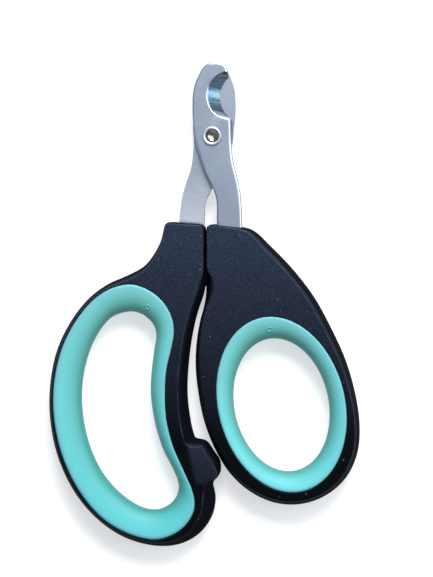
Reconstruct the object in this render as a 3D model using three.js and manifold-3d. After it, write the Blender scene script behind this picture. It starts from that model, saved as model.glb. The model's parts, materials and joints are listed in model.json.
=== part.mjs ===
// A scissor-type pet nail trimmer, closed and lying flat: two hooked steel blades on a hollow rivet, each moulded
// into a black handle, and each handle's finger loop lined with a soft ring.
//
// Millimetres. X runs across the handles, Y from the finger loops to the blade tips, and Z up through the thickness.
// The origin is on the surface the trimmer lies on, under the middle of the closed trimmer's outline.

import * as THREE from "three";
import Module from "manifold-3d";
import { mergeVertices } from "three/addons/utils/BufferGeometryUtils.js";

const wasm = await Module();
wasm.setup();

// ---- driving dimensions ----

const HANDLE_THICKNESS = 9;
const MID = HANDLE_THICKNESS / 2; // the parting plane of the handles, where the two blades meet
const PIVOT = { x: 2.3, y: 45.05 };

const BLADE_THICKNESS = 2.3;
const BLADE_GAP = 0.1; // between the two blades' inner faces
const EDGE_BREAK = 0.4; // height of the chamfer round each blade's outer face

const SHANK_RADIUS = 2.1;
const BORE_CLEARANCE = 0.08;
const MOULD_GAP = 0.15; // between a tang and the plastic round it

const FLANGE_HALF = 1.4; // half the thickness of the web that the soft ring grips
const FLANGE_DEPTH = 0.42; // how far that web reaches into the ring, as a share of the ring's width
const RING_GAP = 0.03; // gap between ring and handle, as a share of the ring's width
const RING_RECESS = 0.1; // how far the ring's crown sits below the handle's face

const WALL_POWER = 1.8; // how full the handle's side wall is: 1 is a plain chamfer, and more is rounder

const STEPS_PER_ROW = 3; // facets between two rows of an outline
const OVAL_SIDES = 64;
const ROUND_SIDES = 40; // for the rivet and the hole it runs in

// ---- outlines ----
// Rows of [x, y, inset], anticlockwise seen from above. The inset is how far in the upper and lower edges lie.

// The long-handled half's body: the shoulder, the outside of the loop, the stop block, the stem and the flat pad.
const LEFT_BODY = [
  [-0.4, 21.4, 0.6],
  [-4.9, 21.85, 0.65],
  [-9.2, 22.15, 0.7],
  [-10.35, 21.6, 0.8],
  [-10.8, 20.3, 0.8],
  [-11.55, 17.2, 0.9],
  [-13.3, 13.7, 1.1],
  [-16.1, 10.3, 1.35],
  [-20.5, 7.85, 1.4],
  [-26.0, 5.4, 1.2],
  [-31.2, 1.5, 1.1],
  [-36.1, -4.8, 1.1],
  [-39.7, -12.3, 1.1],
  [-41.5, -21.0, 1.1],
  [-41.6, -30.5, 1.1],
  [-39.6, -40.6, 1.1],
  [-35.3, -50.0, 1.1],
  [-29.2, -57.4, 1.15],
  [-21.8, -62.5, 1.3],
  [-13.7, -64.8, 1.5],
  [-6.9, -64.45, 1.9],
  [-1.4, -61.6, 2.6],
  [2.2, -56.7, 3.0],
  [3.15, -51.9, 3.2],
  [2.75, -49.3, 2.7],
  [2.5, -48.1, 2.15],
  [2.85, -47.2, 1.1],
  [3.65, -46.35, 0.4],
  [4.35, -45.2, 0.6],
  [4.6, -43.6, 1.5],
  [4.25, -41.55, 2.1],
  [2.75, -39.3, 1.95],
  [1.25, -37.1, 1.75],
  [0.25, -36.35, 1.6],
  [-1.6, -35.95, 2.2],
  [-2.35, -35.55, 2.75],
  [-2.75, -34.6, 2.65],
  [-3.5, -31.5, 2.6],
  [-4.4, -24.0, 2.35],
  [-4.1, -16.0, 2.25],
  [-3.1, -8.3, 2.1],
  [-1.7, -2.2, 1.95],
  [0.0, 2.9, 1.9],
  [0.45, 5.4, 1.6],
  [0.5, 8.4, 0.55],
  [0.5, 14.0, 0.45],
  [0.5, 19.6, 0.5],
  [0.3, 20.8, 0.6],
];

// The other half's body: the shoulder, the pad, the hollow below it and the outside of the oval loop.
const RIGHT_BODY = [
  [11.8, 20.5, 1.1],
  [6.5, 21.15, 0.65],
  [2.1, 21.5, 0.6],
  [1.1, 20.95, 0.6],
  [0.8, 19.7, 0.4],
  [0.8, 14.5, 0.35],
  [0.8, 9.2, 0.5],
  [0.78, 7.3, 1.7],
  [0.72, 5.0, 2.3],
  [0.6, 2.5, 1.9],
  [0.1, -0.4, 1.05],
  [-1.0, -4.5, 1.0],
  [-1.9, -10.0, 1.2],
  [-2.2, -16.0, 1.35],
  [-1.5, -23.3, 1.3],
  [0.1, -31.2, 1.25],
  [2.95, -38.6, 1.25],
  [7.0, -45.2, 1.25],
  [12.7, -50.3, 1.25],
  [19.6, -53.2, 1.25],
  [26.6, -53.3, 1.25],
  [33.1, -50.8, 1.2],
  [38.2, -46.1, 1.2],
  [41.1, -39.8, 1.2],
  [41.75, -32.6, 1.2],
  [40.7, -24.3, 1.3],
  [38.0, -14.8, 1.5],
  [34.3, -6.6, 1.7],
  [29.6, 2.0, 1.8],
  [23.6, 9.8, 1.8],
  [17.4, 16.2, 1.7],
  [14.3, 19.2, 1.5],
];

// The bean-shaped soft ring. Rows of [x, y] on its outer edge, then [x, y] across from it on the finger hole.
const LEFT_RING = [
  [-19.9, 5.6, -19.8, -1.9],
  [-27.3, 3.2, -24.8, -3.4],
  [-33.4, -3.1, -28.7, -8.0],
  [-37.8, -11.2, -31.4, -14.2],
  [-40.05, -20.4, -32.8, -21.5],
  [-40.25, -29.4, -32.7, -29.3],
  [-38.15, -39.9, -30.7, -38.2],
  [-33.45, -49.9, -26.8, -46.0],
  [-26.65, -57.7, -21.2, -51.8],
  [-18.85, -61.9, -15.9, -54.7],
  [-11.9, -62.9, -11.8, -54.9],
  [-5.5, -60.0, -8.5, -53.0],
  [-2.25, -54.9, -6.9, -50.2],
  [-2.5, -50.4, -7.0, -47.4],
  [-4.95, -44.5, -8.6, -43.6],
  [-7.85, -37.9, -11.1, -38.6],
  [-9.65, -30.9, -13.2, -31.6],
  [-10.05, -23.4, -14.3, -23.8],
  [-9.65, -17.4, -14.0, -17.2],
  [-8.45, -12.2, -13.3, -11.8],
  [-7.65, -7.4, -12.8, -8.3],
  [-8.25, -3.2, -13.4, -5.8],
  [-10.75, 1.1, -15.0, -3.8],
  [-14.85, 4.25, -17.2, -2.4],
];

// The oval soft ring lies between two ellipses: centre, half axes, and how far the long axis leans to the left.
const RIGHT_RING = {
  outer: { x: 21.0, y: -26.6, long: 23.9, short: 17.0, lean: THREE.MathUtils.degToRad(14) },
  inner: { x: 20.85, y: -26.85, long: 17.95, short: 12.6, lean: THREE.MathUtils.degToRad(12) },
};

// Each blade from its pivot, lying on its flat inner face with the outer face up, before its notch is cut: the hook,
// the back, the crossing waist and the tang. The notch is a cone through two circles: one on the outer face, and a
// wider, shallower one on the inner face, the cutting edge. The tang's holes fill with plastic, which locks it in.
const FRONT_BLADE = {
  outline: [
    [5.0, 3.5, 0.6],
    [4.5, 11.0, 0.65],
    [4.2, 16.6, 0.7],
    [4.15, 18.0, 0.7],
    [3.4, 19.35, 0.5],
    [1.6, 19.78, 0.35],
    [-0.2, 19.75, 0.3],
    [-1.5, 19.3, 0.3],
    [-2.6, 18.2, 0.3],
    [-3.75, 16.1, 0.3],
    [-4.75, 13.6, 0.3],
    [-5.2, 10.8, 0.3],
    [-5.25, 7.5, 0.3],
    [-5.15, 4.5, 0.3],
    [-5.0, 2.0, 0.3],
    [-4.35, -1.4, 0.3],
    [-3.25, -5.2, 0.3],
    [-1.9, -9.3, 0.3],
    [-0.5, -12.4, 0.3],
    [0.6, -14.8, 0.3],
    [1.2, -17.2, 0.3],
    [1.35, -19.5, 0.3],
    [1.3, -22.0, 0.3],
    [1.6, -25.5, 0.3],
    [2.5, -31.5, 0.3],
    [3.5, -37.5, 0.3],
    [4.4, -40.2, 0.3],
    [6.0, -41.2, 0.3],
    [7.5, -40.3, 0.3],
    [8.2, -37.8, 0.3],
    [8.3, -31.0, 0.3],
    [8.1, -25.0, 0.5],
    [7.95, -20.0, 0.55],
    [7.65, -15.5, 0.6],
    [7.0, -12.0, 0.6],
    [6.3, -9.2, 0.6],
    [5.75, -6.9, 0.6],
    [5.4, -4.6, 0.55],
    [5.2, -2.0, 0.55],
    [5.1, 0.5, 0.55],
  ],
  notchFace: { x: 4.85, y: 11.0, radius: 6.3 },
  notchEdge: { x: 9.1, y: 10.6, radius: 7.1 },
  lockHoles: [
    { x: 5.1, y: -29.5 },
    { x: 5.8, y: -36.0 },
  ],
};

// The rear blade's tang leaves its head at a smaller angle, so closed its hook hides behind the front blade's back.
const REAR_BLADE = {
  outline: [
    [5.3, 3.5, 0.5],
    [4.0, 11.0, 0.5],
    [2.8, 16.7, 0.5],
    [2.4, 18.0, 0.5],
    [1.4, 19.15, 0.45],
    [-0.1, 19.5, 0.35],
    [-1.9, 19.4, 0.3],
    [-3.1, 18.85, 0.3],
    [-3.95, 17.75, 0.3],
    [-5.0, 15.6, 0.3],
    [-5.8, 13.1, 0.3],
    [-6.1, 10.9, 0.3],
    [-6.18, 8.2, 0.3],
    [-6.12, 5.6, 0.35],
    [-5.8, 2.9, 0.4],
    [-5.5, -0.6, 0.4],
    [-5.15, -2.9, 0.35],
    [-4.3, -5.5, 0.3],
    [-2.9, -8.3, 0.3],
    [-1.4, -11.2, 0.3],
    [-0.3, -13.2, 0.3],
    [0.7, -15.0, 0.3],
    [1.55, -16.6, 0.3],
    [2.05, -18.3, 0.3],
    [2.15, -21.5, 0.3],
    [2.4, -25.0, 0.3],
    [3.9, -31.5, 0.3],
    [5.2, -37.3, 0.3],
    [6.3, -39.9, 0.3],
    [8.0, -40.9, 0.3],
    [9.4, -39.9, 0.3],
    [10.0, -37.4, 0.3],
    [9.7, -30.6, 0.3],
    [9.05, -24.6, 0.3],
    [8.65, -20.0, 0.3],
    [8.0, -15.5, 0.3],
    [6.95, -11.9, 0.3],
    [5.8, -8.6, 0.3],
    [5.25, -5.0, 0.35],
    [5.05, -1.0, 0.4],
  ],
  notchFace: { x: 3.93, y: 11.36, radius: 6.3 },
  notchEdge: { x: 8.2, y: 11.3, radius: 7.1 },
  lockHoles: [
    { x: 6.5, y: -29.2 },
    { x: 7.55, y: -35.7 },
  ],
};
const LOCK_RADIUS = 1.5;

// ---- geometry helpers ----

function toSolid(geometry) {
  const bare = new THREE.BufferGeometry()
    .setAttribute("position", geometry.getAttribute("position"))
    .setIndex(geometry.getIndex());
  const merged = mergeVertices(bare, 1e-4);
  const vertProperties = new Float32Array(merged.attributes.position.array);
  const triVerts = new Uint32Array(merged.index.array);
  return new wasm.Manifold(new wasm.Mesh({ numProp: 3, vertProperties, triVerts }));
}

function toGeometry(solid) {
  const mesh = solid.getMesh();
  const geometry = new THREE.BufferGeometry();
  geometry.setAttribute("position", new THREE.BufferAttribute(new Float32Array(mesh.vertProperties), 3));
  geometry.setIndex(new THREE.BufferAttribute(new Uint32Array(mesh.triVerts), 1));
  geometry.computeVertexNormals();
  return geometry;
}

function smoothLoop(rows) {
  return new THREE.CatmullRomCurve3(rows.map(([x, y, z = 0]) => new THREE.Vector3(x, y, z)), true, "centripetal");
}

// Evenly numbered stations on a loop, as many to each row.
function stations(rows) {
  return Array.from({ length: rows.length * STEPS_PER_ROW }, (_, i) => i / (rows.length * STEPS_PER_ROW));
}

// An outline as pairs: each point of the smooth curve through the rows, and its partner, the row's inset further in.
function insetPairs(rows) {
  const curve = smoothLoop(rows);
  return stations(rows).map((t) => {
    const { x, y, z: inset } = curve.getPoint(t);
    const along = curve.getTangent(t);
    const inward = new THREE.Vector2(-along.y, along.x).setLength(inset);
    return { outer: new THREE.Vector2(x, y), inner: new THREE.Vector2(x + inward.x, y + inward.y) };
  });
}

// A band as pairs, from rows that give a point on its outer edge and the one across from it on its inner edge.
function bandPairs(rows) {
  const outerCurve = smoothLoop(rows.map(([x, y]) => [x, y]));
  const innerCurve = smoothLoop(rows.map(([, , x, y]) => [x, y]));
  return stations(rows).map((t) => ({ outer: outerCurve.getPoint(t), inner: innerCurve.getPoint(t) }));
}

function ellipsePoint({ x, y, long, short, lean }, angle) {
  const across = short * Math.cos(angle);
  const up = long * Math.sin(angle);
  return new THREE.Vector2(
    x + across * Math.cos(lean) - up * Math.sin(lean),
    y + across * Math.sin(lean) + up * Math.cos(lean),
  );
}

function ovalPairs({ outer, inner }) {
  return Array.from({ length: OVAL_SIDES }, (_, i) => {
    const angle = (2 * Math.PI * i) / OVAL_SIDES;
    return { outer: ellipsePoint(outer, angle), inner: ellipsePoint(inner, angle) };
  });
}

// One level loop of an outline, at height z and the share u of the way in from the outer points to their partners.
function loopAt(pairs, u, z) {
  return pairs.map(({ outer, inner }) => {
    const at = outer.clone().lerp(inner, u);
    return new THREE.Vector3(at.x, at.y, z);
  });
}

function circleLoop({ x, y, radius }, z, count) {
  return Array.from({ length: count }, (_, i) => {
    const angle = (2 * Math.PI * i) / count;
    return new THREE.Vector3(x + radius * Math.cos(angle), y + radius * Math.sin(angle), z);
  });
}

// Joins loops of equal length, listed bottom first up the outside. An open stack is closed by a flat cap at each
// end; a ring goes on over its top, down its inside and back to the first loop.
function loft(loops, isRing = false) {
  const count = loops[0].length;
  const index = [];
  const bands = isRing ? loops.length : loops.length - 1;
  for (let k = 0; k < bands; k++) {
    const above = ((k + 1) % loops.length) * count;
    for (let i = 0; i < count; i++) {
      const next = (i + 1) % count;
      index.push(k * count + i, k * count + next, above + next);
      index.push(k * count + i, above + next, above + i);
    }
  }
  if (!isRing) {
    const top = (loops.length - 1) * count;
    const flat = (loop) => loop.map((p) => new THREE.Vector2(p.x, p.y));
    for (const [a, b, c] of THREE.ShapeUtils.triangulateShape(flat(loops[0]), [])) index.push(a, c, b);
    for (const [a, b, c] of THREE.ShapeUtils.triangulateShape(flat(loops.at(-1)), []))
      index.push(top + a, top + b, top + c);
  }
  const positions = loops.flat().flatMap((p) => [p.x, p.y, p.z]);
  const geometry = new THREE.BufferGeometry();
  geometry.setAttribute("position", new THREE.Float32BufferAttribute(positions, 3));
  geometry.setIndex(index);
  return geometry;
}

// An upright cylinder between two heights.
function post({ x, y }, radius, bottom, top, sides = 24) {
  return new THREE.CylinderGeometry(radius, radius, top - bottom, sides)
    .rotateX(Math.PI / 2)
    .translate(x, y, (top + bottom) / 2);
}

// ---- materials ----

const steel = new THREE.MeshStandardMaterial({ color: 0xa9b5c4, roughness: 0.35, metalness: 1 });
const rivetSteel = new THREE.MeshStandardMaterial({ color: 0xd4d8dc, roughness: 0.2, metalness: 1 });
const blackPlastic = new THREE.MeshStandardMaterial({ color: 0x1b1e26, roughness: 0.6, metalness: 0 });
const aquaRubber = new THREE.MeshStandardMaterial({ color: 0x6fd0cd, roughness: 0.5, metalness: 0 });

// ---- blades ----

// The blade stands on its flat inner face, from z = 0 up to the chamfered and ground outer face.
function makeBlade({ outline, notchFace, notchEdge, lockHoles }) {
  const pairs = insetPairs(outline);
  const blank = loft([
    loopAt(pairs, 0, 0),
    loopAt(pairs, 0, BLADE_THICKNESS - EDGE_BREAK),
    loopAt(pairs, 1, BLADE_THICKNESS),
  ]);
  return toGeometry(
    [notchCutter(notchFace, notchEdge), pivotBore(), ...lockHoles.map(lockHole)].reduce(
      (blade, cutter) => blade.subtract(toSolid(cutter)),
      toSolid(blank),
    ),
  );
}

// A leaning cone through both notch circles, carried on past the blade's two faces.
function notchCutter(face, edge) {
  const overrun = 0.4;
  const loops = [-overrun, 1 + overrun].map((share) =>
    circleLoop(
      {
        x: THREE.MathUtils.lerp(edge.x, face.x, share),
        y: THREE.MathUtils.lerp(edge.y, face.y, share),
        radius: THREE.MathUtils.lerp(edge.radius, face.radius, share),
      },
      share * BLADE_THICKNESS,
      60,
    ),
  );
  return loft(loops);
}

function pivotBore() {
  return post({ x: 0, y: 0 }, SHANK_RADIUS + BORE_CLEARANCE, -1, BLADE_THICKNESS + 1, ROUND_SIDES);
}

function lockHole(centre) {
  return post(centre, LOCK_RADIUS, -1, BLADE_THICKNESS + 1);
}

// The room a handle leaves for its tang: the blade's outline a little larger all round, less the locking posts.
function tangPocket({ outline, lockHoles }) {
  const pairs = insetPairs(outline.map(([x, y]) => [x, y, -MOULD_GAP]));
  const room = loft([loopAt(pairs, 1, -MOULD_GAP), loopAt(pairs, 1, BLADE_THICKNESS + MOULD_GAP)]);
  return lockHoles.reduce(
    (pocket, centre) => pocket.subtract(toSolid(post(centre, LOCK_RADIUS - MOULD_GAP, -1, BLADE_THICKNESS + 1))),
    toSolid(room),
  );
}

// The front blade lies with its outer face up, and the rear one is turned over, so their inner faces meet.
function placeFront(mesh) {
  mesh.position.set(PIVOT.x, PIVOT.y, MID + BLADE_GAP / 2);
  return mesh;
}

function placeRear(mesh) {
  mesh.position.set(PIVOT.x, PIVOT.y, MID - BLADE_GAP / 2);
  mesh.rotation.set(0, Math.PI, 0);
  return mesh;
}

// ---- handles and soft rings ----

function makeHandle(bodyRows, ringPairs, blade, placeTang) {
  const body = insetPairs(bodyRows);
  const shell = loft(
    [-1, -0.55, 0, 0.55, 1].map((level) => loopAt(body, Math.abs(level) ** WALL_POWER, MID * (1 + level))),
  );
  const pocket = placeTang(new THREE.Mesh(toGeometry(tangPocket(blade))));
  pocket.updateMatrix();
  return toGeometry(
    toSolid(shell)
      .subtract(toSolid(ringWindow(ringPairs)))
      .subtract(toSolid(pocket.geometry.applyMatrix4(pocket.matrix))),
  );
}

// The opening in a handle: as wide as the soft ring at both faces, and narrower round the web in the middle.
function ringWindow(pairs) {
  const overrun = 1;
  return loft([
    loopAt(pairs, 0, -overrun),
    loopAt(pairs, 0, MID - FLANGE_HALF),
    loopAt(pairs, FLANGE_DEPTH, MID - FLANGE_HALF),
    loopAt(pairs, FLANGE_DEPTH, MID + FLANGE_HALF),
    loopAt(pairs, 0, MID + FLANGE_HALF),
    loopAt(pairs, 0, HANDLE_THICKNESS + overrun),
  ]);
}

// A soft ring: grooved outside to grip the handle's web, and half-round towards the fingers.
function makeRing(pairs) {
  const grooveHalf = FLANGE_HALF + MOULD_GAP;
  const crown = MID - RING_RECESS;
  const arcSteps = 8;
  const section = [
    [RING_GAP, MID - crown],
    [RING_GAP, MID - grooveHalf],
    [FLANGE_DEPTH + RING_GAP, MID - grooveHalf],
    [FLANGE_DEPTH + RING_GAP, MID + grooveHalf],
    [RING_GAP, MID + grooveHalf],
  ];
  for (let k = 0; k < arcSteps; k++) {
    const angle = (Math.PI * k) / arcSteps;
    section.push([RING_GAP + (1 - RING_GAP) * Math.sin(angle), MID + crown * Math.cos(angle)]);
  }
  return loft(section.map(([u, z]) => loopAt(pairs, u, z)), true);
}

// ---- rivet ----

// A semi-tubular rivet: a wide flat head behind, a shallow bore, and a lip rolled outwards over the front blade.
function makeRivet() {
  const play = 0.06;
  const face = BLADE_GAP / 2 + BLADE_THICKNESS + play;
  const boreRadius = 1.6;
  const profile = [
    [0, -face - 1.0],
    [2.7, -face - 1.0],
    [3.3, -face - 0.75],
    [3.5, -face - 0.3],
    [3.4, -face],
    [SHANK_RADIUS, -face],
    [SHANK_RADIUS, face],
    [2.45, face],
    [2.6, face + 0.25],
    [2.5, face + 0.5],
    [2.2, face + 0.65],
    [1.9, face + 0.6],
    [1.7, face + 0.35],
    [boreRadius, face],
    [boreRadius, 1.5],
    [1.3, 0.95],
    [0.75, 0.65],
    [0, 0.55],
  ].map(([radius, height]) => new THREE.Vector2(radius, height));
  return new THREE.LatheGeometry(profile, ROUND_SIDES).rotateX(Math.PI / 2);
}

// ---- assembly ----

function part(name, geometry, material) {
  const mesh = new THREE.Mesh(geometry, material);
  mesh.name = name;
  return mesh;
}

const leftRing = bandPairs(LEFT_RING);
const rightRing = ovalPairs(RIGHT_RING);

const leftHalf = new THREE.Group();
leftHalf.add(
  placeRear(part("rear_blade", makeBlade(REAR_BLADE), steel)),
  part("left_handle", makeHandle(LEFT_BODY, leftRing, REAR_BLADE, placeRear), blackPlastic),
  part("left_finger_ring", makeRing(leftRing), aquaRubber),
);

const rightHalf = new THREE.Group();
rightHalf.add(
  placeFront(part("front_blade", makeBlade(FRONT_BLADE), steel)),
  part("right_handle", makeHandle(RIGHT_BODY, rightRing, FRONT_BLADE, placeFront), blackPlastic),
  part("right_thumb_ring", makeRing(rightRing), aquaRubber),
);

const rivet = part("pivot_rivet", makeRivet(), rivetSteel);
rivet.position.set(PIVOT.x, PIVOT.y, MID);

const trimmer = new THREE.Group();
trimmer.add(leftHalf, rightHalf, rivet);

export default trimmer;
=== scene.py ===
"""The looks of the pet nail trimmer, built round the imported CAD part.

Every visible piece is a finer mesh made from its CAD node. The node's own edge loops give the outlines,
and each piece is lofted through them again with rounded edges. Lengths are in millimetres up to the
moment a mesh is made. Materials, lights and the camera are in metres.
"""

import json
import math

import bmesh
import bpy
import numpy as np
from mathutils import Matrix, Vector
from mathutils.bvhtree import BVHTree


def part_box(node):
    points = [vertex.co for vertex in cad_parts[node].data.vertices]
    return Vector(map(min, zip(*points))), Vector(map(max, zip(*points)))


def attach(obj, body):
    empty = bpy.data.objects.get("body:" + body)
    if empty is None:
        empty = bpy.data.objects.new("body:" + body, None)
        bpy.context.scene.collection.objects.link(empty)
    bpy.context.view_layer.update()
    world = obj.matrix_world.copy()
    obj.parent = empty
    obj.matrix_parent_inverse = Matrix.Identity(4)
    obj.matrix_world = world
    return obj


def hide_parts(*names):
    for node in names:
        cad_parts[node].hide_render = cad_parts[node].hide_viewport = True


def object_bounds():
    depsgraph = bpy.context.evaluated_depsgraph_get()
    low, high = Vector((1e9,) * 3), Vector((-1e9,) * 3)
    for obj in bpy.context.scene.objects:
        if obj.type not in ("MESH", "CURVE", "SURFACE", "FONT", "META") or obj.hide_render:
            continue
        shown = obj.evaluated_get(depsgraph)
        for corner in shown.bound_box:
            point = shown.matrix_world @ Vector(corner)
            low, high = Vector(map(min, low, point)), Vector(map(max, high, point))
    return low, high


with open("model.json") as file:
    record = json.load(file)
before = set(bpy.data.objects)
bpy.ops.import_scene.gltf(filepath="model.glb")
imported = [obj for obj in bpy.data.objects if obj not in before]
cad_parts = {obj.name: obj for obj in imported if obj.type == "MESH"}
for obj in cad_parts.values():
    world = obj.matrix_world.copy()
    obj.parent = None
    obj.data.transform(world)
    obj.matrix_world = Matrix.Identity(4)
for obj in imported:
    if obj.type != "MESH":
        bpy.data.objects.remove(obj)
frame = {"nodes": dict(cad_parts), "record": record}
cad_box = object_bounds()

MM = 0.001
HALF_THICKNESS = (cad_box[1][2] - cad_box[0][2]) / 2 / MM

# ---- how the CAD part is drawn ----

WALL_LEVEL = 0.55  # height of the wall's first bend, where 0 is the middle and 1 a face
WALL_POWER = 1.8  # how full the handles' side wall is
RING_GAP = 0.03  # gap between a soft ring and its handle, as a share of the ring's width
WEB_DEPTH = 0.42  # how far the handle's web reaches into the ring, as a share of the same width
WEB_HALF = 1.4
EDGE_BREAK = 0.4  # height of the rounding at the edge of a blade's outer face

STATIONS_PER_EDGE = 3  # points of a visual loop to each CAD one


# ---- loops out of the CAD nodes ----

SAME_HEIGHT = 0.004  # how far apart two heights may lie to count as one
FACES_UP = 0.999  # the z of a flat face's normal, at least


def thickness(node):
    """(lowest, highest) z of a CAD node."""
    low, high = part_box(node)
    return low.z / MM, high.z / MM


def turned_left(loop):
    """The loop, run anticlockwise."""
    x, y = loop.T
    area = np.sum(x * np.roll(y, -1) - y * np.roll(x, -1))
    return loop if area > 0 else loop[::-1]


def edge_loops(node, z):
    """A CAD node's closed loops of edges at height z, longest first, without those inside a flat face."""
    bm = bmesh.new()
    bm.from_mesh(frame["nodes"][node].data)
    bmesh.ops.remove_doubles(bm, verts=bm.verts, dist=1e-6)
    links = {}
    for edge in bm.edges:
        level = all(abs(v.co.z / MM - z) < SAME_HEIGHT for v in edge.verts)
        in_flat = all(abs(f.normal.z) > FACES_UP for f in edge.link_faces)
        if level and not in_flat:
            a, b = edge.verts
            links.setdefault(a, []).append(b)
            links.setdefault(b, []).append(a)
    loops = []
    seen = set()
    for start in links:
        at, last, loop = start, None, []
        while at not in seen:
            seen.add(at)
            loop.append((at.co.x / MM, at.co.y / MM))
            at, last = next(v for v in links[at] if v is not last), at
        if loop:
            loops.append(turned_left(np.array(loop)))
    bm.free()
    return sorted(loops, key=lambda loop: -np.linalg.norm(loop - np.roll(loop, 1, 0), axis=1).sum())


def matched(loop, guide):
    """A loop of as many points as the guide, started where its points lie nearest to the guide's."""
    turns = (np.roll(loop, k, 0) for k in range(len(loop)))
    return min(turns, key=lambda turned: np.abs(turned - guide).sum())


def on_curve(before, here, after, beyond, t):
    """The point a share t of the way from here to after, on a smooth curve through all four."""
    linear = after - before
    square = 2 * before - 5 * here + 4 * after - beyond
    cube = 3 * here - before - 3 * after + beyond
    return here + (linear * t + square * t**2 + cube * t**3) / 2


def finer(loop, steps):
    """A smooth closed curve through the loop's points, with that many steps from one to the next."""
    four = [np.roll(loop, k, 0) for k in (1, 0, -1, -2)]
    rows = [on_curve(*four, t) for t in np.arange(steps) / steps]
    return np.stack(rows, 1).reshape(-1, 2)


def smooth_profile(points, steps):
    """An open smooth curve through (radius, height) points."""
    points = np.array(points)
    padded = np.vstack((2 * points[0] - points[1], points, 2 * points[-1] - points[-2]))
    rows = []
    for k in range(1, len(padded) - 2):
        rows += [on_curve(*padded[k - 1 : k + 3], t) for t in np.arange(steps) / steps]
    return [*rows, points[-1]]


def inward(loop):
    """Unit vectors that point into an anticlockwise loop, at each of its points."""
    along = np.roll(loop, -1, 0) - np.roll(loop, 1, 0)
    normal = np.stack((-along[:, 1], along[:, 0]), 1)
    return normal / np.linalg.norm(normal, axis=1, keepdims=True)


def at_height(loop, z):
    """A flat loop as 3-D points."""
    return np.column_stack((loop, np.full(len(loop), z)))


def resampled(path, count):
    """That many points, evenly spaced along an open path, with both its ends."""
    run = np.concatenate(([0], np.cumsum(np.linalg.norm(np.diff(path, axis=0), axis=1))))
    at = np.linspace(0, run[-1], count)
    return np.stack([np.interp(at, run, path[:, k]) for k in range(2)], 1)


def distance_to(loop, points):
    """How far each point is from a closed loop's edges."""
    start, run = loop, np.roll(loop, -1, 0) - loop
    away = points[:, None] - start
    share = np.clip((away * run).sum(2) / (run**2).sum(1), 0, 1)
    return np.linalg.norm(away - share[..., None] * run, axis=2).min(1)


def around(radius, sides):
    """A circle about the origin, as a loop of that many points."""
    angles = np.linspace(0, 2 * math.pi, sides, endpoint=False)
    return radius * np.column_stack((np.cos(angles), np.sin(angles)))


def circle_through(points):
    """(centre, radius) of the circle that fits the points best."""
    terms = np.column_stack((2 * points, np.ones(len(points))))
    x, y, c = np.linalg.lstsq(terms, (points**2).sum(1), rcond=None)[0]
    return np.array((x, y)), math.sqrt(c + x * x + y * y)


# ---- meshes ----


def add_loop(bm, points):
    return [bm.verts.new(Vector(p) * MM) for p in points]


def skin(bm, loops, closed=False, material=0):
    """Quads between neighbouring loops of equal length, and from the last to the first where closed."""
    faces = []
    pairs = list(zip(loops, loops[1:])) + ([(loops[-1], loops[0])] if closed else [])
    for low, high in pairs:
        for i in range(len(low)):
            j = (i + 1) % len(low)
            face = bm.faces.new((low[i], low[j], high[j], high[i]))
            face.material_index = material
            faces.append(face)
    return faces


def fill(bm, loops, material=0):
    """One flat face within the first loop, with the others as holes in it, shaded flat to its borders."""
    edges = [bm.edges.get((loop[i - 1], loop[i])) for loop in loops for i in range(len(loop))]
    for edge in edges:
        edge.smooth = False
    made = bmesh.ops.triangle_fill(bm, use_beauty=True, use_dissolve=False, edges=edges)
    for face in made["geom"]:
        if isinstance(face, bmesh.types.BMFace):
            face.material_index = material


def piece(name, bm, node, materials, sharp_degrees=35):
    """A shaded object out of bm that stands for a CAD node and rides on that node's body."""
    bmesh.ops.recalc_face_normals(bm, faces=bm.faces)
    mesh = bpy.data.meshes.new(name)
    bm.to_mesh(mesh)
    bm.free()
    for material in materials:
        mesh.materials.append(material)
    mesh.shade_smooth()
    mesh.set_sharp_from_angle(angle=math.radians(sharp_degrees))
    obj = bpy.data.objects.new(name, mesh)
    bpy.context.scene.collection.objects.link(obj)
    weighted = obj.modifiers.new("weighted_normals", "WEIGHTED_NORMAL")
    weighted.keep_sharp = True
    bodies = frame["record"]["behaviour"]["bodies"]
    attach(obj, next(body for body, nodes in bodies.items() if node in nodes))
    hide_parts(node)
    return obj


# ---- handles ----

CREST_ROUNDING = 0.22  # how far the rounding of a handle's edge reaches over its face
CREST_TURN = 0.93  # the level on the wall, from the middle to a face as 0 to 1, where that rounding ends
WALL_ROWS = 8
SEAM_ROUNDING = 0.14  # how far the face's edge is rounded where the soft ring begins
SEAM_BEND = 0.3  # where that rounding turns, as a share of it
PARTING_RIDGE = 0.05  # height of the moulding line round a handle
PARTING_HALF = 0.014  # half of its width, as a level on the wall
PADS_X = 0.65  # the closed handles' pads meet here, above PADS_FROM_Y
PADS_REACH = 0.5
PADS_FROM_Y = 4.9
PAD_RIDGE = 0.17  # height of the moulding line on the pads, where one handle's passes just over the other's
PAD_STEP = 0.05


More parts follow.
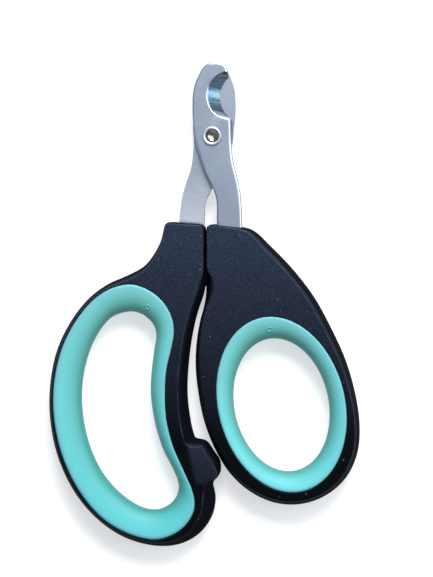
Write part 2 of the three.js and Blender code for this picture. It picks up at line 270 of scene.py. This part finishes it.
def handle_wall(crest, outer, middle, whole_side):
    """The loops from the lower face, over the rounded edge and the bulging wall, to the upper face."""
    out = (outer - crest) / np.linalg.norm(outer - crest, axis=1, keepdims=True)
    on_pad = (abs(outer[:, 0] - PADS_X) < PADS_REACH) & (outer[:, 1] > PADS_FROM_Y)
    parting = np.where(on_pad, PAD_RIDGE, PARTING_RIDGE)[:, None]

    def wall(level, ridge=0.0):
        loop = crest + (outer - crest) * (1 - abs(level) ** WALL_POWER) + out * ridge
        return at_height(loop, middle * (1 + level))

    def rounding(side):
        flat = at_height(crest - out * CREST_ROUNDING, middle * (1 + side))
        corner = wall(side)
        end = wall(side * CREST_TURN)
        shares = (0, 0.25, 0.5, 0.75)
        return [flat * (1 - t) ** 2 + corner * 2 * t * (1 - t) + end * t**2 for t in shares]

    half = [wall(CREST_TURN * math.sin(a)) for a in np.linspace(math.pi / 2, 0.05, WALL_ROWS)]
    lower_half = [np.column_stack((loop[:, :2], 2 * middle - loop[:, 2])) for loop in half]
    peak = wall(0, parting)
    peak[on_pad, 2] += whole_side * PAD_STEP
    ridge = [wall(-PARTING_HALF), peak, wall(PARTING_HALF)]
    return [*rounding(-1), *lower_half, *ridge, *half[::-1], *rounding(1)[::-1]]


def window_wall(edge, web, middle):
    """The loops of the opening that holds the soft ring, from the lower face to the upper."""
    into_handle = -inward(edge)

    def side(sign):
        face = middle * (1 + sign)
        bend = SEAM_ROUNDING * SEAM_BEND
        return [
            at_height(edge + into_handle * SEAM_ROUNDING, face),
            at_height(edge + into_handle * bend, face - sign * bend),
            at_height(edge, face - sign * SEAM_ROUNDING),
            at_height(edge, middle + sign * WEB_HALF),
            at_height(web, middle + sign * WEB_HALF),
        ]

    return [*side(-1), *side(1)[::-1]]


def handle(node, whole_side, plastic):
    """whole_side is the side, 1 up or -1 down, on which the tang's pocket leaves the CAD wall whole."""
    top = thickness(node)[1]
    middle = top / 2
    crest, window = edge_loops(node, middle * (1 + whole_side))
    bend = matched(edge_loops(node, middle * (1 + whole_side * WALL_LEVEL))[0], crest)
    share = WALL_LEVEL**WALL_POWER
    outer = (bend - crest * share) / (1 - share)
    web = matched(edge_loops(node, middle + WEB_HALF)[1], window)
    crest, outer, window, web = (finer(loop, STATIONS_PER_EDGE) for loop in (crest, outer, window, web))

    bm = bmesh.new()
    walls = [add_loop(bm, loop) for loop in handle_wall(crest, outer, middle, whole_side)]
    opening = [add_loop(bm, loop) for loop in window_wall(window, web, middle)]
    skin(bm, walls)
    skin(bm, opening)
    fill(bm, [walls[0], opening[0]])
    fill(bm, [walls[-1], opening[-1]])
    return piece(node + "_shell", bm, node, [plastic])


# ---- soft rings ----

LEFT_GATE = (-14.8, -0.7)  # where each ring's mould was filled
RIGHT_GATE = (17.8, -6.55)
GATE_RADIUS = 0.6
GATE_BEAD = 0.16
GATE_SIDES = 40
BEAD_SIDES = 10

GROOVE_PLAY = 0.15  # between the handle's web and each side of the ring's groove
CROWN_HEIGHT = 4.4  # above the ring's middle
CROWN_ROWS = 21
CROWN_START = 0.14  # the angle at which the crown takes over from the shoulder, in radians
SHOULDER = [(0.010, 3.80), (0.016, 3.98), (0.032, 4.14), (0.058, 4.26), (0.090, 4.33)]


def ring_section():
    """The upper half of the ring's section, from its groove round to the finger side.

    Each point is (share of the ring's width from the handle, height above its middle).
    """
    groove_half = WEB_HALF + GROOVE_PLAY
    groove = [(WEB_DEPTH + RING_GAP, 0.0), (WEB_DEPTH + RING_GAP, groove_half), (SHOULDER[0][0], groove_half)]
    crown = []
    for angle in np.linspace(CROWN_START, math.pi / 2, CROWN_ROWS):
        crown.append((math.sin(angle) ** 1.05, CROWN_HEIGHT * math.cos(angle) ** 0.92))
    return [*groove, *SHOULDER, *crown]


def gate_mark(bm, x, y):
    """The small raised circle left on the crown by the mould's gate, square to the surface there."""
    surface = BVHTree.FromBMesh(bm)
    above = Vector((x, y, 2 * HALF_THICKNESS + 1)) * MM
    at, normal, _, _ = surface.ray_cast(above, Vector((0, 0, -1)))
    turn = Vector((0, 0, 1)).rotation_difference(normal if normal.z > 0 else -normal)
    loops = []
    for across, up in around(GATE_BEAD, BEAD_SIDES):
        circle = at_height(around(GATE_RADIUS + across, GATE_SIDES), up)
        loops.append([bm.verts.new(at + turn @ (Vector(p) * MM)) for p in circle])
    skin(bm, loops, closed=True)


def soft_ring(node, gate, rubber):
    low, high = thickness(node)
    middle = (low + high) / 2
    outer = edge_loops(node, high)[0]
    inner = matched(edge_loops(node, middle)[0], outer)
    outer, inner = (finer(loop, STATIONS_PER_EDGE + 1) for loop in (outer, inner))
    true_outer = outer + (outer - inner) * RING_GAP / (1 - RING_GAP)

    upper = ring_section()
    lower = [(u, -height) for u, height in upper[1:-1]]
    section = [*upper, *lower[::-1]]
    bm = bmesh.new()
    loops = [at_height(true_outer * (1 - u) + inner * u, middle + height) for u, height in section]
    skin(bm, [add_loop(bm, loop) for loop in loops], closed=True)
    bmesh.ops.recalc_face_normals(bm, faces=bm.faces)
    gate_mark(bm, *gate)
    return piece(node + "_skin", bm, node, [rubber])


# ---- blades ----

BACK_POINTS = 300
ARC_POINTS = 72
CLOSING_POINTS = 7  # that bridge the notch while the back is made finer
HOLE_SIDES = 48  # of the rivet's hole
INNER_BREAK = 0.05  # the fine broken edge round a blade's inner face
SIDE_FROM = 0.4  # the heights on a blade's side, from its inner face up to its edge's rounding
SIDE_ROWS = 5

# The rounded edge of a blade's outer face, outermost first, as pairs: how far it has come in over the face,
# and how much of its height is left to climb, both as shares.
EDGE_PROFILE = [(0.07, 0.76), (0.19, 0.52), (0.44, 0.28), (0.70, 0.11), (0.90, 0.025), (1.0, 0.0)]
EDGE_REACH = 1.4  # how much wider it is than the plain chamfer of the CAD blade
CHAMFER_RANGE = (0.32, 0.65)  # that chamfer's width, at least and at most
DARK_EDGE_ROWS = 2  # how many rows of the edge take the blade sides' dark steel, which paints a line of shade along the edge
NOTCH_ROUNDING = 0.2  # how far the rounding of the notch's upper edge reaches over the face
NOTCH_RIM_ROWS = 3  # how many rows of that rounding are bright


def split_notch(loop):
    """(notch arc, rest of the outline): the runs between the loop's two sharpest corners, arc first."""
    ahead = np.roll(loop, -1, 0) - loop
    heading = np.arctan2(ahead[:, 1], ahead[:, 0])
    turn = np.abs((heading - np.roll(heading, 1) + math.pi) % (2 * math.pi) - math.pi)
    first, second = sorted(np.argsort(turn)[-2:])
    runs = [loop[first : second + 1], np.concatenate((loop[second:], loop[: first + 1]))]
    return sorted(runs, key=lambda run: np.linalg.norm(np.diff(run, axis=0), axis=1).sum())


def notched(outline, centre, radius):
    """The outline cut by the notch's circle: BACK_POINTS outside it, then ARC_POINTS back on the arc."""
    depth = np.linalg.norm(outline - centre, axis=1) - radius
    start = next(i for i in range(len(outline)) if depth[i - 1] < 0 <= depth[i])
    outline, depth = (np.roll(a, -start, 0) for a in (outline, depth))
    end = next(i for i in range(len(outline)) if depth[i] < 0)

    def crossing(inside, outside):
        t = depth[inside] / (depth[inside] - depth[outside])
        return outline[inside] * (1 - t) + outline[outside] * t

    back = resampled(np.vstack((crossing(-1, 0), outline[:end], crossing(end, end - 1))), BACK_POINTS)
    leave, enter = (math.atan2(*(p - centre)[::-1]) for p in (back[-1], back[0]))
    sweep = -((leave - enter) % (2 * math.pi))
    angles = leave + sweep * np.linspace(0, 1, ARC_POINTS + 2)[1:-1]
    arc = centre + radius * np.column_stack((np.cos(angles), np.sin(angles)))
    return np.vstack((back, arc))


def blade(node, inner_z, outer_z, satin, lined, ground, sheared):
    """A blade between its flat inner face and its rounded outer one."""
    inner_loop, *holes = edge_loops(node, inner_z)
    inner_arc, back = split_notch(inner_loop)
    outer_arc = split_notch(edge_loops(node, outer_z)[0])[0]
    inner_circle, outer_circle = circle_through(inner_arc), circle_through(outer_arc)
    closing = np.linspace(back[-1], back[0], CLOSING_POINTS + 2)[1:-1]
    outline = finer(np.vstack((back, closing)), STATIONS_PER_EDGE)
    into = inward(outline)
    height = abs(outer_z - inner_z)
    chamfer = distance_to(edge_loops(node, outer_z)[0], outline)[:, None]
    reach = EDGE_REACH * chamfer.clip(*CHAMFER_RANGE)

    def level(z, inset=0.0, widening=0.0):
        share = z / height
        centre = inner_circle[0] * (1 - share) + outer_circle[0] * share
        radius = inner_circle[1] * (1 - share) + outer_circle[1] * share + widening
        loop = notched(outline + into * inset, centre, radius)
        return at_height(loop, inner_z + share * (outer_z - inner_z))

    bm = bmesh.new()
    levels = [level(0.0, inset=INNER_BREAK), level(INNER_BREAK)]
    levels += [level(z) for z in np.linspace(SIDE_FROM, height - EDGE_BREAK, SIDE_ROWS)]
    for away, left_to_climb in EDGE_PROFILE:
        levels.append(level(height - EDGE_BREAK * left_to_climb, reach * away, NOTCH_ROUNDING * away**2))
    sides = [add_loop(bm, loop) for loop in levels]
    ground_rows = len(sides) - 1 - NOTCH_RIM_ROWS
    dark_rows = len(sides) - 1 - len(EDGE_PROFILE) + DARK_EDGE_ROWS
    for k, face in enumerate(skin(bm, sides)):
        row, column = divmod(k, len(sides[0]))
        if column >= BACK_POINTS - 1:
            face.material_index = 2 if row < ground_rows else 0
        else:
            face.material_index = 3 if row < dark_rows else 0
    rims = []
    for hole in holes:
        centre, radius = circle_through(hole)
        circle = centre + around(radius, HOLE_SIDES)
        rims.append([add_loop(bm, at_height(circle, z)) for z in (inner_z, outer_z)])
        skin(bm, rims[-1])
    fill(bm, [sides[0], *(rim[0] for rim in rims)], material=1)
    fill(bm, [sides[-1], *(rim[1] for rim in rims)])
    metals = [satin, lined, ground, sheared]
    return piece(node + "_steel", bm, node, metals, sharp_degrees=28)


# ---- rivet ----

RIVET_SIDES = 96
END_PLAY = 0.04  # between the blades and the rivet's lip and head
SHANK = 2.1  # radius, like the next two
LIP_CREST = 2.15
BORE = 1.62
BORE_SHIFT = np.array((0.17, 0.08))  # the lip is rolled a little wider on one side
HEAD_ROWS = 5  # points of each curve to one point of its profile
LIP_ROWS = 5
BOWL_ROWS = 4


def rivet(node, lip_steel, bore_steel):
    """A turned body: a low head, a plain shank, and a bore whose lip is rolled out over the front blade."""
    low, high = thickness(node)
    corner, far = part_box(node)
    head_radius = (far.x - corner.x) / 2 / MM
    centre = np.array((corner.x + far.x, corner.y + far.y)) / 2 / MM
    under_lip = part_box("front_blade")[1].z / MM + END_PLAY
    over_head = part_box("rear_blade")[0].z / MM - END_PLAY
    head = [
        (0.15, low),
        (1.6, low + 0.03),
        (2.6, low + 0.14),
        (3.2, low + 0.36),
        (head_radius, low + 0.72),
    ]
    lip = [
        (2.5, under_lip),
        (2.62, under_lip + 0.14),
        (2.6, under_lip + 0.34),
        (2.42, high - 0.07),
        (LIP_CREST, high),
        (1.9, high - 0.07),
        (1.72, high - 0.26),
        (1.64, high - 0.55),
    ]
    bowl = [
        (BORE, high - 0.8),
        (BORE, high - 1.4),
        (1.5, high - 1.78),
        (1.15, high - 2.02),
        (0.6, high - 2.26),
        (0.1, high - 2.46),
    ]
    below = [*smooth_profile(head, HEAD_ROWS), (head_radius - 0.06, over_head), (SHANK, over_head)]
    rolled = [(SHANK, under_lip), *smooth_profile(lip, LIP_ROWS)]
    inside = smooth_profile(bowl, BOWL_ROWS)

    def turned(radius, z, shift):
        return add_loop(bm, at_height(centre + BORE_SHIFT * shift + around(radius, RIVET_SIDES), z))

    bm = bmesh.new()
    loops = [turned(radius, z, 0.0) for radius, z in below]
    for radius, z in rolled:
        past_crest = min(max((LIP_CREST - radius) / (LIP_CREST - BORE), 0.0), 1.0)
        loops.append(turned(radius, z, past_crest if z > under_lip else 0.0))
    first_inside = len(loops)
    loops += [turned(radius, z, 1.0) for radius, z in inside]
    skin(bm, loops[: first_inside + 1])
    skin(bm, loops[first_inside:], material=1)
    bm.faces.new(loops[0])
    bm.faces.new(loops[-1]).material_index = 1
    return piece(node + "_turned", bm, node, [lip_steel, bore_steel])


# ---- materials ----

NOISE_RANGE = (0.3, 0.7)  # where most of a noise's values lie
METAL_RELIEF = 0.000002  # how high the lines on the metal stand, in metres

STOP_TURN = math.radians(12.5)  # how far the stop block is turned, and its face's reach on its own axes
STOP_ACROSS = (-0.0127, -0.0050)
STOP_ALONG = (-0.0482, -0.0366)

LINES_TURN = math.radians(-22)  # how far the rolled lines on the inner faces are turned


def new_material(name):
    """(material, its node tree, its Principled shader)."""
    made = bpy.data.materials.new(name)
    made.use_nodes = True
    return made, made.node_tree, made.node_tree.nodes["Principled BSDF"]


def put(tree, kind, inputs=None, **settings):
    """A new shader node. Each input is a value, or a socket to link from."""
    made = tree.nodes.new("ShaderNode" + kind)
    for key, value in settings.items():
        setattr(made, key, value)
    for key, value in (inputs or {}).items():
        if isinstance(value, bpy.types.NodeSocket):
            tree.links.new(value, made.inputs[key])
        else:
            made.inputs[key].default_value = value
    return made


def place(tree, features=(1, 1, 1), turn=0.0):
    """The object's own coordinates along axes turned about z, each counted in that axis's feature size."""
    at = put(tree, "TexCoord").outputs["Object"]
    turned = {"Vector": at, "Rotation": (0, 0, turn), "Scale": features}
    return put(tree, "Mapping", turned, vector_type="TEXTURE").outputs["Vector"]


def noise(tree, scale, at=None, detail=3.0, roughness=0.55):
    inputs = {"Scale": scale, "Detail": detail, "Roughness": roughness}
    if at is not None:
        inputs["Vector"] = at
    return put(tree, "TexNoise", inputs).outputs["Fac"]


def spread(tree, value, low, high, to_low, to_high):
    """A value from low to high, spread over to_low to to_high."""
    inputs = {"Value": value, "From Min": low, "From Max": high, "To Min": to_low, "To Max": to_high}
    return put(tree, "MapRange", inputs).outputs["Result"]


def from_noise(tree, value, to_low, to_high):
    """A noise's usual range, spread over to_low to to_high."""
    return spread(tree, value, *NOISE_RANGE, to_low, to_high)


def math_of(tree, operation, a, b):
    return put(tree, "Math", {0: a, 1: b}, operation=operation).outputs[0]


def product(tree, a, b):
    return math_of(tree, "MULTIPLY", a, b)


def within(tree, value, low, high, fade):
    """1 where the value lies between low and high, falling to 0 at both over the length of the fade."""
    above = spread(tree, value, low, low + fade, 0, 1)
    return product(tree, above, spread(tree, value, high - fade, high, 1, 0))


def mixed(tree, factor, a, b):
    """Colour a, turning into colour b as the factor goes from 0 to 1."""
    made = put(tree, "Mix", data_type="RGBA")
    for key, value in ((0, factor), (6, a), (7, b)):
        if isinstance(value, bpy.types.NodeSocket):
            tree.links.new(value, made.inputs[key])
        else:
            made.inputs[key].default_value = value
    return made.outputs[2]


def from_middle(tree):
    """How far a point is above or below the handles' parting plane, in metres."""
    height = put(tree, "SeparateXYZ", {0: place(tree)}).outputs["Z"]
    return math_of(tree, "ABSOLUTE", math_of(tree, "SUBTRACT", height, HALF_THICKNESS * MM), 0.0)


def along_tool(tree):
    """How far a point lies from the origin towards the blade tips, in metres."""
    return put(tree, "SeparateXYZ", {0: place(tree)}).outputs["Y"]


def relief(tree, height, depth, shader):
    """Raises the surface by the height, a value from 0 to 1, times a depth in metres."""
    made = put(tree, "Bump", {"Height": height, "Distance": depth, "Strength": 1.0})
    tree.links.new(made.outputs["Normal"], shader.inputs["Normal"])


def stop_block(tree):
    """1 on the face of the block that strikes the other handle, and a little less towards its lower end."""
    across = put(tree, "SeparateXYZ", {0: place(tree, turn=STOP_TURN)}).outputs["X"]
    along = along_tool(tree)
    on_width = within(tree, across, *STOP_ACROSS, 0.0012)
    on_length = within(tree, along, *STOP_ALONG, 0.0008)
    block = product(tree, on_width, on_length)
    return product(tree, block, spread(tree, along, -0.047, -0.039, 0.6, 1.0))


def beside_a_wall(tree, reach):
    """1 in the corner under a wall that stands on the surface, and 0 a little way out from it: the mask of a
    painted shadow.
    """
    openness = put(tree, "AmbientOcclusion", {"Distance": reach}, samples=12).outputs["AO"]
    return spread(tree, openness, 0.56, 0.76, 0.85, 0)


def side_facing_the_light(tree):
    """1 on the edges that face right and towards the tips, the side the light comes from, and 0 on those that
    face the other way. It masks a painted highlight.
    """
    inputs = {0: put(tree, "TexCoord").outputs["Normal"], 1: (0.75, 0.66, 0)}
    facing = put(tree, "VectorMath", inputs, operation="DOT_PRODUCT").outputs["Value"]
    return spread(tree, facing, -0.05, 0.25, 0, 1)


def black_plastic():
    """Navy black, the navy being a painted reflection of blue sky light, with fine pale grain on its faces,
    which carry painted light: paler towards the shoulders and darker down the loops.

    The walls are duller and painted darker as painted shade, the edges that face right and towards the tips
    carry a painted highlight, the stop block's face is paler, and there is dust.
    """
    made, tree, shader = new_material("black_moulded_plastic")
    at = place(tree)
    along = along_tool(tree)
    height = from_middle(tree)
    on_face = spread(tree, height, 0.0032, 0.0044, 0, 1)

    grain = noise(tree, 3300, at, detail=4, roughness=0.65)
    fleck = spread(tree, grain, 0.36, 0.74, 0, 1)
    # Painted light: the faces are painted darker down the loops and paler towards the shoulder, for how the
    # key light falls along the handles.
    shaded_loops = mixed(tree, fleck, (0.0008, 0.0010, 0.0014, 1), (0.0022, 0.0026, 0.0044, 1))
    lit_face = mixed(tree, fleck, (0.0080, 0.0110, 0.021, 1), (0.032, 0.0435, 0.076, 1))
    face = mixed(tree, spread(tree, along, -0.036, 0.018, 0, 1), shaded_loops, lit_face)
    # The stop block's face is paler, fading a little towards its lower end.
    paler_block = mixed(tree, stop_block(tree), face, (0.0125, 0.0155, 0.027, 1))
    # Painted shade: the walls are painted darker than the faces, and the moulding line along their middle is
    # paler.
    parting = spread(tree, height, 0.00003, 0.00010, 1, 0)
    wall = mixed(tree, parting, (0.0020, 0.0026, 0.0044, 1), (0.012, 0.014, 0.019, 1))
    body = mixed(tree, on_face, wall, paler_block)

    # Painted highlight, in patches, on the face edges that face the light.
    edge = within(tree, height, 0.00428, 0.004498, 0.00010)
    patchy = spread(tree, noise(tree, 260, at), 0.35, 0.65, 0.2, 1.0)
    edge_highlight_and_head_tone = product(tree, product(tree, edge, patchy), side_facing_the_light(tree))
    with_edge_highlight = mixed(tree, edge_highlight_and_head_tone, body, (0.034, 0.045, 0.070, 1))

    cells = {"Vector": at, "Scale": 420, "Randomness": 1.0}
    specks = spread(tree, put(tree, "TexVoronoi", cells).outputs["Distance"], 0.05, 0.09, 1, 0)
    rare = spread(tree, noise(tree, 160, at), 0.43, 0.60, 0, 0.38)
    dust = product(tree, product(tree, specks, rare), on_face)
    base = mixed(tree, dust, with_edge_highlight, (0.26, 0.30, 0.38, 1))
    tree.links.new(base, shader.inputs["Base Color"])

    cloud = noise(tree, 90, at, detail=4)
    duller_wall = spread(tree, height, 0.0030, 0.0043, 0.42, 0)
    roughness = math_of(tree, "ADD", from_noise(tree, cloud, 0.42, 0.52), duller_wall)
    tree.links.new(roughness, shader.inputs["Roughness"])
    shader.inputs["Specular IOR Level"].default_value = 0.05
    shader.inputs["Specular Tint"].default_value = (0.66, 0.80, 1.0, 1)
    relief(tree, grain, 0.00003, shader)
    return made


def aqua_rubber(name, bottom, top):
    """A clear tone that runs from bottom to top along the loop, painted for how the light changes along it.

    It has a painted grey-blue reflection along its outer edge where the ring meets the plastic, and painted
    shade deeper down its flanks.
    """
    made, tree, shader = new_material(name)
    at = place(tree)
    fine = noise(tree, 3200, at, detail=2)
    cloud = noise(tree, 60, at, detail=3)
    height = from_middle(tree)
    crown = spread(tree, height, 0.0016, 0.0042, 0, 1)
    along = spread(tree, along_tool(tree), -0.055, 0.0, 0, 1)
    # Painted light: the flanks are painted darker as shade, and the crown and the flanks change along the
    # loop for how the light falls on it.
    flank = mixed(tree, along, (0.037, 0.200, 0.180, 1), (0.073, 0.276, 0.246, 1))
    clear = mixed(tree, along, bottom, top)
    pale = mixed(tree, from_noise(tree, cloud, 0, 0.3), clear, (0.094, 0.36, 0.37, 1))
    body = mixed(tree, crown, flank, pale)
    # Painted reflection: a grey-blue line along the ring's outer edge, where it meets the plastic.
    brim = spread(tree, height, 0.00429, 0.00436, 0, 0.5)
    base = mixed(tree, brim, body, (0.17, 0.33, 0.46, 1))
    tree.links.new(base, shader.inputs["Base Color"])
    tree.links.new(from_noise(tree, fine, 0.42, 0.52), shader.inputs["Roughness"])
    shader.inputs["Specular IOR Level"].default_value = 0.3
    shader.inputs["Specular Tint"].default_value = (0.75, 0.95, 1.0, 1)
    relief(tree, fine, 0.000008, shader)
    return made


def finish_metal(tree, shader, base, cloud, roughness, height, depth=METAL_RELIEF):
    """Links a metal's colour, its roughness range, which follows the cloud, and its relief."""
    tree.links.new(base, shader.inputs["Base Color"])
    shader.inputs["Metallic"].default_value = 1.0
    tree.links.new(from_noise(tree, cloud, *roughness), shader.inputs["Roughness"])
    relief(tree, height, depth, shader)


def brushed_metal(name, darker, lighter, grain_turn, roughness, by_handle=None):
    """Steel with fine lines along one direction and a faint cloudiness.

    by_handle, if given, is another tone that it takes on near the handles.
    """
    made, tree, shader = new_material(name)
    lines = noise(tree, 1.0, place(tree, (0.006, 0.0003, 0.0003), math.radians(grain_turn)), detail=3)
    cloud = noise(tree, 70, place(tree), detail=3)
    tone = math_of(tree, "ADD", lines, cloud)
    base = mixed(tree, spread(tree, tone, 0.7, 1.3, 0, 1), darker, lighter)
    if by_handle:
        base = mixed(tree, spread(tree, along_tool(tree), 0.024, 0.036, 0.7, 0), base, by_handle)
    finish_metal(tree, shader, base, cloud, roughness, lines)
    return made


def satin_steel():
    """The blades' outer faces, tinted blue as a painted reflection of blue sky light."""
    darker = (0.42, 0.47, 0.58, 1)
    lighter = (0.51, 0.565, 0.675, 1)
    by_handle = (0.419, 0.425, 0.535, 1)
    return brushed_metal("satin_blade_steel", darker, lighter, -20, (0.26, 0.31), by_handle)


def sheared_steel():
    """The blades' sides, as cut from the sheet, and the outer rows of their edges' rounding, where this dark
    tone is a painted line of shade.
    """
    darker = (0.21, 0.24, 0.30, 1)
    lighter = (0.28, 0.32, 0.39, 1)
    return brushed_metal("sheared_blade_steel", darker, lighter, 90, (0.36, 0.44))


def lined_steel():
    """The blades' inner faces: rolled lines across the tang, darker and plainer on the head, with a painted
    shadow beside the walls that stand on them.
    """
    made, tree, shader = new_material("lined_blade_steel")
    turned = place(tree, turn=LINES_TURN)
    bands = {"Vector": turned, "Scale": 560, "Distortion": 2.2, "Detail": 3, "Detail Scale": 1.6}
    lines = put(tree, "TexWave", bands, wave_type="BANDS", bands_direction="Y").outputs["Fac"]
    streaks = noise(tree, 1.0, place(tree, (0.008, 0.0004, 0.0004), LINES_TURN), detail=3)
    both = product(tree, lines, from_noise(tree, streaks, 0.45, 1.0))
    tang = mixed(tree, both, (0.576, 0.593, 0.691, 1), (0.883, 0.879, 0.94, 1))
    head = mixed(tree, streaks, (0.33, 0.378, 0.45, 1), (0.42, 0.475, 0.55, 1))
    # Darker and plainer towards the head.
    edge_highlight_and_head_tone = mixed(tree, spread(tree, along_tool(tree), 0.020, 0.036, 0, 1), tang, head)
    # Painted shadow: darker in the corner beside the walls that stand on the inner face.
    base = mixed(tree, beside_a_wall(tree, 0.0016), edge_highlight_and_head_tone, (0.13, 0.125, 0.16, 1))
    finish_metal(tree, shader, base, streaks, (0.34, 0.40), both)
    return made


def ground_steel():
    """Ground across the notch: blue as a painted reflection of the sky, a painted grey reflection towards the
    pivot, and painted shade under the hook.
    """
    made, tree, shader = new_material("ground_notch_steel")
    turned = place(tree, (0.012, 0.0008, 0.012), math.radians(-8))
    streaks = noise(tree, 1.0, turned, detail=4, roughness=0.6)
    along = along_tool(tree)
    streaked = spread(tree, streaks, 0.38, 0.62, 0, 1)
    # The blue is a painted sky reflection, the grey towards the pivot a painted reflection, and the dark
    # under the hook painted shade.
    blue = mixed(tree, streaked, (0.11, 0.21, 0.31, 1), (0.27, 0.44, 0.57, 1))
    greyer = mixed(tree, spread(tree, along, 0.0505, 0.0545, 1, 0), blue, (0.22, 0.26, 0.32, 1))
    base = mixed(tree, spread(tree, along, 0.0600, 0.0618, 0, 1), greyer, (0.10, 0.09, 0.085, 1))
    finish_metal(tree, shader, base, streaks, (0.18, 0.30), streaks, 0.00001)
    return made


def rivet_metal(name, darker, lighter, roughness):
    made, tree, shader = new_material(name)
    cloud = noise(tree, 900, place(tree), detail=3)
    finish_metal(tree, shader, mixed(tree, cloud, darker, lighter), cloud, roughness, cloud, 2 * METAL_RELIEF)
    return made


def rolled_lip_steel():
    return rivet_metal("rolled_lip_steel", (0.42, 0.445, 0.48, 1), (0.52, 0.545, 0.58, 1), (0.46, 0.54))


def rivet_bore_steel():
    """Darker and shinier than the lip; its darker tone is painted shade in the bore."""
    darker = (0.22, 0.205, 0.185, 1)
    lighter = (0.43, 0.415, 0.385, 1)
    return rivet_metal("rivet_bore_steel", darker, lighter, (0.14, 0.23))


def pale_floor():
    """A glowing pale table, which keeps the shadows on it light."""
    made, tree, shader = new_material("pale_floor")
    cloud = noise(tree, 8, place(tree), detail=2)
    base = mixed(tree, cloud, (0.52, 0.525, 0.53, 1), (0.56, 0.565, 0.57, 1))
    tree.links.new(base, shader.inputs["Base Color"])
    tree.links.new(base, shader.inputs["Emission Color"])
    shader.inputs["Emission Strength"].default_value = 1.0
    shader.inputs["Roughness"].default_value = 0.7
    return made


# ---- floor, light and camera ----

FLOOR_HALF_SIZE = 1.5
FLOOR_DROP = 0.00005  # how far the floor lies under the trimmer


def floor():
    bm = bmesh.new()
    bmesh.ops.create_grid(bm, x_segments=8, y_segments=8, size=FLOOR_HALF_SIZE)
    mesh = bpy.data.meshes.new("floor")
    bm.to_mesh(mesh)
    bm.free()
    mesh.materials.append(pale_floor())
    obj = bpy.data.objects.new("floor", mesh)
    obj.location.z = -FLOOR_DROP
    bpy.context.scene.collection.objects.link(obj)


def aim(obj, target):
    """Turns a light towards a point."""
    way = Vector(target) - obj.location
    obj.rotation_mode = "QUATERNION"
    obj.rotation_quaternion = way.to_track_quat("-Z", "Y")


def softbox(name, place_at, target, size, power, colour):
    """A rectangular area light, with its power in watts."""
    light = bpy.data.lights.new(name, "AREA")
    light.shape = "RECTANGLE"
    light.size, light.size_y = size
    light.energy = power
    light.color = colour
    obj = bpy.data.objects.new(name, light)
    obj.location = place_at
    bpy.context.scene.collection.objects.link(obj)
    aim(obj, target)


def light_studio():
    """A pale surround, a large key light beyond the tips, and three weak fills."""
    world = bpy.data.worlds.new("studio")
    world.use_nodes = True
    background = world.node_tree.nodes["Background"]
    background.inputs["Color"].default_value = (0.90, 0.95, 1.0, 1)
    background.inputs["Strength"].default_value = 0.30
    bpy.context.scene.world = world
    softbox("key", (0.16, 0.74, 0.76), (0, 0, 0), (0.6, 0.5), 17.0, (0.975, 0.99, 1.03))
    softbox("right_strip", (0.66, 0.22, 0.60), (0, 0.04, 0), (0.6, 0.45), 2.8, (0.97, 0.99, 1.0))
    softbox("overhead", (0.0, 0.25, 1.2), (0, 0, 0), (1.2, 1.2), 1.6, (0.84, 0.93, 1.0))
    softbox("back_strip", (0.0, 0.95, 0.24), (0, 0.04, 0), (0.7, 0.25), 1.5, (0.90, 0.96, 1.0))


def photo_camera():
    """Nearly straight down, leaning a little to the right, with the tips at the top of the picture."""
    frame_height = 0.1546  # what the picture's long side spans at the blades
    distance = 0.60
    lean = math.radians(4)
    target = Vector((0.0035, 0.0043, 0.006))
    data = bpy.data.cameras.new("camera")
    data.sensor_width = 36
    data.lens = data.sensor_width * distance / frame_height
    data.clip_start = 0.01
    obj = bpy.data.objects.new("camera", data)
    bpy.context.scene.collection.objects.link(obj)
    obj.location = target + Vector((math.sin(lean), 0, math.cos(lean))) * distance
    obj.rotation_euler.y = lean
    bpy.context.scene.camera = obj


# ---- the trimmer ----

plastic = black_plastic()
# The right ring's copy of the rubber is paler: painted light on that ring.
left_rubber = aqua_rubber("left_soft_rubber", (0.082, 0.438, 0.442, 1), (0.142, 0.448, 0.432, 1))
right_rubber = aqua_rubber("right_soft_rubber", (0.104, 0.482, 0.494, 1), (0.156, 0.466, 0.452, 1))
blade_metals = satin_steel(), lined_steel(), ground_steel(), sheared_steel()

handle("left_handle", 1, plastic)
handle("right_handle", -1, plastic)
soft_ring("left_finger_ring", LEFT_GATE, left_rubber)
soft_ring("right_thumb_ring", RIGHT_GATE, right_rubber)
blade("front_blade", *thickness("front_blade"), *blade_metals)
blade("rear_blade", *thickness("rear_blade")[::-1], *blade_metals)
rivet("pivot_rivet", rolled_lip_steel(), rivet_bore_steel())

floor()
light_studio()
photo_camera()
bpy.context.scene.view_settings.view_transform = "Standard"
